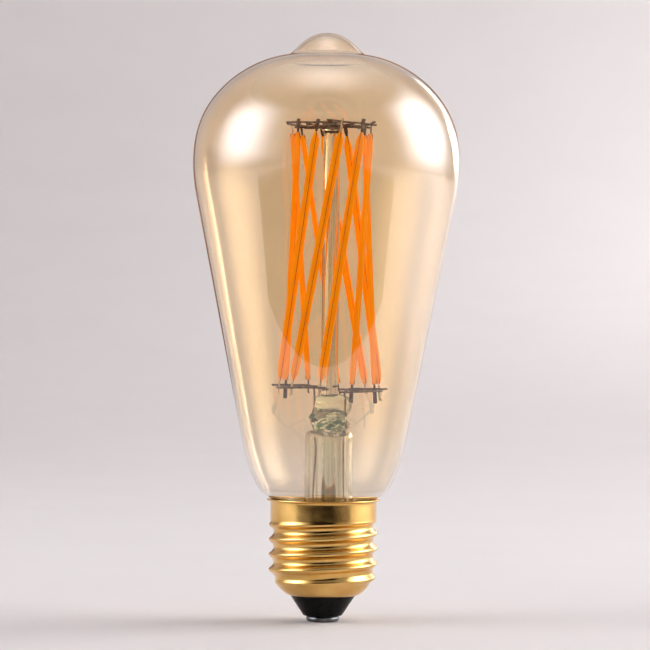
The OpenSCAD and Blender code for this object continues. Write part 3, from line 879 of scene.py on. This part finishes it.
make_globe()
make_flare_tube()
make_exhaust_tube()
make_column()
make_button()
make_pinch()
make_half_ring("left_ring_wire", "left_half_ring", 100, LEFT_RING_Z)
make_half_ring("right_ring_wire", "right_half_ring", -80, RIGHT_RING_Z)
make_lead_arm("left_arm_wire", "left_lead_arm", -1, LEFT_RING_Z)
make_lead_arm("right_arm_wire", "right_lead_arm", 1, RIGHT_RING_Z)
make_outer_lead("left_lead_wire", "left_outer_lead", -1, 0.9)
make_outer_lead("right_lead_wire", "right_outer_lead", 1, 0.1)
make_top_ring()
make_filaments()
make_tabs("foot_tabs", "lower_tabs", False, FOOT_TABS, FOOT_TAB_FACES, SHINY_FOOT_TABS)
make_tabs("head_tabs", "upper_tabs", True, HEAD_TABS, HEAD_TAB_FACES, SHINY_HEAD_TABS)
make_screw_shell()
make_cement()
make_insulator()
make_contact()

# CAD nodes that keep their own shape and only get a finish.
KEPT_NODES = {
    "neck_seal": CLEAR_GLASS, "left_seal_wire": SEAL_COPPER, "right_seal_wire": SEAL_COPPER,
    "led_chips": make_moulding("led_crystal", (0.7, 0.6, 0.25), (0.85, 0.78, 0.4), 0.3),
    "driver_board": make_moulding("board_laminate", (0.03, 0.14, 0.07), (0.05, 0.2, 0.1), 0.4),
    "bridge_rectifier": make_moulding("black_moulding", (0.015, 0.015, 0.017), (0.03, 0.03, 0.032), 0.55),
    "driver_chip": make_moulding("chip_moulding", (0.012, 0.012, 0.014), (0.025, 0.025, 0.028), 0.5),
    "smoothing_capacitor": make_moulding("capacitor_sleeve", (0.02, 0.025, 0.06), (0.03, 0.035, 0.09), 0.25),
    "driver_inductor": make_moulding("ferrite", (0.05, 0.05, 0.055), (0.09, 0.09, 0.095), 0.6),
    "fusible_resistor": make_moulding("resistor_glaze", (0.1, 0.25, 0.33), (0.16, 0.34, 0.43), 0.4),
    "radio_module": make_plain_metal("shield_can", (0.55, 0.56, 0.57), (0.7, 0.71, 0.72), 0.35),
    "radio_antenna": make_plain_metal("antenna_copper", (0.6, 0.38, 0.15), (0.75, 0.5, 0.24), 0.35),
    "shell_lead": make_moulding("red_sleeve", (0.42, 0.03, 0.025), (0.55, 0.05, 0.04), 0.4),
    "contact_lead": make_moulding("red_sleeve_2", (0.42, 0.03, 0.025), (0.55, 0.05, 0.04), 0.4),
}
for node, finish in KEPT_NODES.items():
    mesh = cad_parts[node].data
    mesh.materials.clear()
    mesh.materials.append(finish)


# ---------------------------------------------------------------- studio

def make_cove():
    """A round pale cove: a flat floor that turns up into a wall all the way round."""
    floor_z, wall_r = -0.02, 2300
    line = [(0.0, floor_z), (150, floor_z), (350, floor_z)]
    line += bezier(((350, floor_z), (1500, floor_z), (wall_r, 150), (wall_r, 1300)), 28)
    line += [(wall_r, 1900), (wall_r, 2600)]
    cove = lathe("cove", line, steps=96, closed=False)
    shade(cove)
    f = Finish("cove_paper", Roughness=0.9)
    f.feed("Base Color", f.colours(f.noise(60, detail=4.0), [
        (0.3, (0.785, 0.74, 0.73)), (0.7, (0.8, 0.755, 0.745))]))
    cove.data.materials.append(f.material)


def make_glow(name, coordinates, fades, radiance, colour):
    """A sheer glowing finish that fades towards the left, right, lower and upper edges of a panel."""
    material = bpy.data.materials.new(name)
    material.use_nodes = True
    tree = material.node_tree
    tree.nodes.clear()

    def node(kind, *inputs, operation=None):
        made = tree.nodes.new("ShaderNode" + kind)
        if operation:
            made.operation = operation
        for socket, value in zip(made.inputs, inputs):
            if isinstance(value, bpy.types.NodeSocket):
                tree.links.new(value, socket)
            else:
                socket.default_value = value
        return made

    spot = node("SeparateXYZ", node("TexCoord").outputs[coordinates])
    glow = node("Math", 1.0, node("NewGeometry").outputs["Backfacing"], operation="SUBTRACT")
    for axis, (low_fade, high_fade) in (("X", fades[:2]), ("Y", fades[2:])):
        for fade, edge, way in ((low_fade, 0.0, 1), (high_fade, 1.0, -1)):
            if fade:
                ramp = node("MapRange", spot.outputs[axis], edge, edge + way * fade, 0.0, 1.0)
                ramp.interpolation_type = "SMOOTHSTEP"
                glow = node("Math", glow.outputs[0], ramp.outputs["Result"], operation="MULTIPLY")
    power = node("Math", glow.outputs[0], radiance, operation="MULTIPLY")
    emission = node("Emission", (*colour, 1.0), power.outputs[0])
    sheer = node("AddShader", emission.outputs[0], node("BsdfTransparent").outputs[0])
    node("OutputMaterial", sheer.outputs[0])
    return material


def show_mirrored_only(piece):
    piece.visible_camera = piece.visible_shadow = False
    piece.visible_diffuse = piece.visible_transmission = False


def light_panel(name, place_at, aim, size, radiance, colour=(1, 1, 1), fades=(0.3, 0.3, 0.3, 0.3),
                mirrored=True, lights=True):
    """A flat glowing panel that faces the point it is aimed at.

    With mirrored off it lights the scene without a reflection, and with lights off it is only seen mirrored.
    """
    deselect_all()
    bpy.ops.mesh.primitive_plane_add(size=1)
    panel = bpy.context.object
    panel.name = name
    panel.scale = (*size, 1)
    panel.location = place_at
    panel.rotation_euler = (Vector(aim) - Vector(place_at)).to_track_quat("Z", "Y").to_euler()
    panel.data.materials.append(make_glow(name, "Generated", fades, radiance, colour))
    panel.visible_camera = panel.visible_shadow = False
    panel.visible_glossy = mirrored
    panel.visible_diffuse = lights
    panel.visible_transmission = mirrored and lights


def sweep_line(low_glow):
    """Points (distance, height, glow) of a sheet that runs out over the floor and curves up into a wall."""
    line = [(150, 8, 0.0), (300, 11, low_glow), (500, 18, low_glow), (800, 42, low_glow)]
    line += bezier((line[-1], (980, 58, low_glow), (1050, 160, 0.7), (1060, 320, 1.0)), 16)
    return line + [(1060, 500, 1.0), (1060, 750, 0.85), (1060, 1150, 0.5), (1060, 1600, 0.0)]


def light_sweep(name, bearing, width, profile, radiance, colour):
    """A glowing sheet spun round the lamp that fades to its sides and is only seen mirrored."""
    sheet = spin_sheet(name, [(r, 0, z) for r, z, glow in profile], width, 32)
    angles = bearings(sheet)
    first = min(angles)
    turned = max(angles) - first
    spread = []
    for v, angle in zip(sheet.data.vertices, angles):
        here = (math.hypot(v.co.x, v.co.y) / MM, v.co.z / MM)
        glow = min(profile, key=lambda point: math.dist(point[:2], here))[2]
        spread.append(((angle - first) / turned, glow))
    while sheet.data.uv_layers:
        sheet.data.uv_layers.remove(sheet.data.uv_layers[0])
    layer = sheet.data.uv_layers.new(name="spread")
    for loop in sheet.data.loops:
        layer.data[loop.index].uv = spread[loop.vertex_index]
    sheet.rotation_euler = (0, 0, math.radians(bearing) - first - turned / 2)
    above_lamp = Vector((0, 0, 0.5))
    if sum((above_lamp - face.center).dot(face.normal) for face in sheet.data.polygons) < 0:
        sheet.data.flip_normals()
    side_fade, glow_fade = 0.5, 1.0
    sheet.data.materials.append(
        make_glow(name, "UV", (side_fade, side_fade, glow_fade, 0), radiance, colour))
    show_mirrored_only(sheet)


def make_flags():
    """Black cloth behind and below the camera that is only seen mirrored."""
    f = Finish("black_velvet", Base_Color=(0.004, 0.004, 0.004), Roughness=1.0, Specular_IOR_Level=0.0)
    spot = f.node("SeparateXYZ", Vector=f.place)
    middle = f.between(f.maths("ABSOLUTE", spot.outputs["X"]), 1.0, 0.0, 0.35, 0.62)
    f.feed("Alpha", f.maths("MULTIPLY", middle, f.between(spot.outputs["Z"], 1.0, 0.0, 0.45, 0.9)))
    card_half_width, card_y, card_height = 650, -850, 0.9
    card = draw_line("black_card", [(-card_half_width, card_y, 0), (card_half_width, card_y, 0)])
    bpy.ops.mesh.select_all(action="SELECT")
    bpy.ops.mesh.extrude_region_move(TRANSFORM_OT_translate={"value": (0, 0, card_height)})
    bpy.ops.object.mode_set(mode="OBJECT")
    apron = spin_sheet("black_apron", [(166, 0, 1), (350, 0, 3), (1000, 0, 40)], 120, 60)
    straightening = 0.6  # 0 leaves the apron's near edge round, 1 makes it straight
    angles = bearings(apron)
    centre = (min(angles) + max(angles)) / 2
    for v, angle in zip(apron.data.vertices, angles):
        away = angle - centre
        radius = math.hypot(v.co.x, v.co.y) / math.cos(away) ** straightening
        v.co.x, v.co.y = radius * math.sin(away), -radius * math.cos(away)
    for flag in (card, apron):
        flag.data.materials.append(f.material)
        show_mirrored_only(flag)


def make_edge_card():
    """A brown arc behind the lamp, only seen mirrored, that gives the glass a thin warm outline."""
    f = Finish("brown_card", Base_Color=(0.36, 0.17, 0.08), Roughness=1.0, Specular_IOR_Level=0.0)
    distance = f.node("VectorMath", Vector=f.place)
    distance.operation = "LENGTH"
    radius = distance.outputs["Value"]
    inner_fade = f.between(radius, 0.0, 1.0, 0.1, 0.15)
    outer_fade = f.between(radius, 1.0, 0.0, 0.26, 0.4)
    f.feed("Alpha", f.maths("MULTIPLY", inner_fade, outer_fade))
    card = spin_sheet("edge_card", [(100, 0, 0), (400, 0, 0)], 178, 48)
    middle = sum((v.co for v in card.data.vertices), Vector())
    bearing = 118  # of the arc's middle, from the right over the top
    turn = math.radians(bearing) - math.atan2(middle.y, middle.x)
    card.rotation_euler = (math.radians(90), -turn, 0)
    card.location = (0, 0.8, 0.08)
    card.data.materials.append(f.material)
    show_mirrored_only(card)


make_cove()
make_flags()
make_edge_card()
lamp_middle = (0, 0, 0.08)
warm_white, cool_white = (1, 0.985, 0.97), (0.84, 1.0, 1.18)
soft = (0.5, 0.5, 0.5, 0.5)
light_panel("left_softbox", (-0.93, -0.18, 0.5), lamp_middle, size=(1.3, 1.4), radiance=3.1,
            colour=warm_white, fades=soft)
light_panel("right_softbox", (0.95, 0.13, 0.5), lamp_middle, size=(1.4, 1.4), radiance=4.7,
            colour=warm_white, fades=soft)
light_sweep("left_sweep", bearing=193, width=88, profile=sweep_line(0.12), radiance=3.2, colour=cool_white)
light_sweep("right_sweep", bearing=8, width=92, profile=sweep_line(0.28), radiance=3.5, colour=cool_white)
light_panel("top_sheen", (0.0, 0.5, 1.5), lamp_middle, size=(3.0, 2.4), radiance=0.7, fades=soft,
            lights=False)
light_panel("key_panel", (0.95, 0.55, 0.55), lamp_middle, size=(0.5, 0.5), radiance=14.0,
            colour=warm_white, fades=soft, mirrored=False)
light_panel("top_softbox", (0.0, 0.1, 1.6), lamp_middle, size=(1.4, 1.4), radiance=1.5, fades=soft)
light_panel("wall_wash", (1.2, 1.5, 0.42), aim=(0.8, 2.25, 0.25), size=(0.8, 0.8), radiance=18.5)
light_panel("floor_wash", (0.6, 1.3, 0.6), aim=(0.1, 1.4, 0.05), size=(0.5, 0.5), radiance=5.0)

scene = bpy.context.scene
scene.world = bpy.data.worlds.new("room")
scene.world.use_nodes = True
room_light = scene.world.node_tree.nodes["Background"].inputs
room_light["Color"].default_value = (0.9, 0.92, 1.0, 1)
room_light["Strength"].default_value = 0.38

camera_distance, eye_height, middle_height = 0.7, 0.069, 0.0711
view_width = 0.1561
level, lean = math.radians(90), math.radians(-0.5)
deselect_all()
bpy.ops.object.camera_add(location=(0, -camera_distance, eye_height), rotation=(level, lean, 0))
camera = bpy.context.object
camera.data.sensor_width = 36.0
camera.data.lens = camera.data.sensor_width * camera_distance / view_width
camera.data.shift_y = (middle_height - eye_height) / view_width
scene.camera = camera
scene.view_settings.view_transform = "Standard"
glass_bounces, mirror_bounces = 28, 10
scene.cycles.max_bounces = scene.cycles.transmission_bounces = glass_bounces
scene.cycles.glossy_bounces = mirror_bounces
